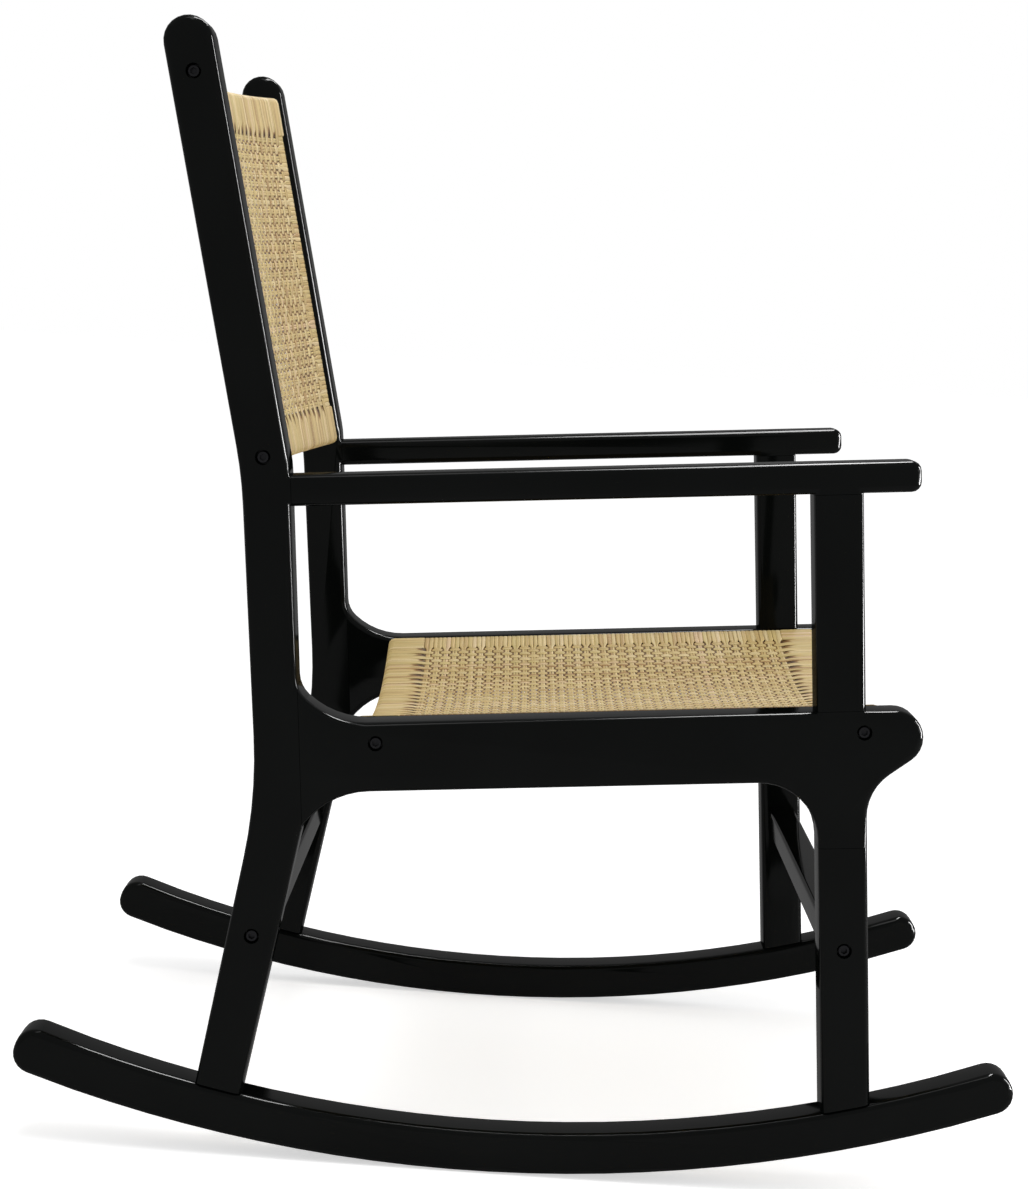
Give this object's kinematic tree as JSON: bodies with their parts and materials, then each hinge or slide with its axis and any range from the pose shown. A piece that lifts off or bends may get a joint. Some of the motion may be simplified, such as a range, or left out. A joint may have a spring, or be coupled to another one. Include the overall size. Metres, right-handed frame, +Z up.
{
  "type": "rocking chair",
  "caption": "Rocking chair with a black sawn-timber frame on curved runners and a dished seat and bowed back of woven cane.",
  "frame": {"origin": "on the floor, below the middle of the chair's box, with the chair standing free on its runners", "axes": "+X to the sitter's left, -Y where the sitter faces, +Z up"},
  "size_m": [0.6, 0.8236, 0.922],
  "materials": {
    "lacquered_wood": "black lacquer, gloss",
    "cane": "natural woven cane, satin",
    "bare_wood": "unfinished beech",
    "black_steel": "black oxide",
    "zinc_steel": "zinc plated"
  },
  "bodies": {
    "root": {"back_post_left": "lacquered_wood", "seat_side_rail_left": "lacquered_wood", "front_leg_left": "lacquered_wood", "arm_post_left": "lacquered_wood", "armrest_left": "lacquered_wood", "runner_left": "lacquered_wood", "armrest_dowel_left": "bare_wood", "rail_dowel_1_left": "bare_wood", "rail_dowel_2_left": "bare_wood", "screw_seat_front_left": "black_steel", "screw_seat_rear_left": "black_steel", "screw_back_low_left": "black_steel", "screw_back_high_left": "black_steel", "screw_stretcher_front_left": "black_steel", "screw_stretcher_rear_left": "black_steel", "nut_seat_front_rail_left": "zinc_steel", "nut_seat_rear_rail_left": "zinc_steel", "nut_back_bottom_rail_left": "zinc_steel", "nut_back_top_rail_left": "zinc_steel", "nut_front_stretcher_left": "zinc_steel", "nut_rear_stretcher_left": "zinc_steel", "seat_stile_left": "lacquered_wood", "back_stile_left": "lacquered_wood", "back_post_right": "lacquered_wood", "seat_side_rail_right": "lacquered_wood", "front_leg_right": "lacquered_wood", "arm_post_right": "lacquered_wood", "armrest_right": "lacquered_wood", "runner_right": "lacquered_wood", "armrest_dowel_right": "bare_wood", "rail_dowel_1_right": "bare_wood", "rail_dowel_2_right": "bare_wood", "screw_seat_front_right": "black_steel", "screw_seat_rear_right": "black_steel", "screw_back_low_right": "black_steel", "screw_back_high_right": "black_steel", "screw_stretcher_front_right": "black_steel", "screw_stretcher_rear_right": "black_steel", "nut_seat_front_rail_right": "zinc_steel", "nut_seat_rear_rail_right": "zinc_steel", "nut_back_bottom_rail_right": "zinc_steel", "nut_back_top_rail_right": "zinc_steel", "nut_front_stretcher_right": "zinc_steel", "nut_rear_stretcher_right": "zinc_steel", "seat_stile_right": "lacquered_wood", "back_stile_right": "lacquered_wood", "seat_front_rail": "lacquered_wood", "seat_rear_rail": "lacquered_wood", "back_bottom_rail": "lacquered_wood", "back_top_rail": "lacquered_wood", "front_stretcher": "lacquered_wood", "rear_stretcher": "lacquered_wood", "seat_cane": "cane", "back_cane": "cane"}
  },
  "joints": []
}
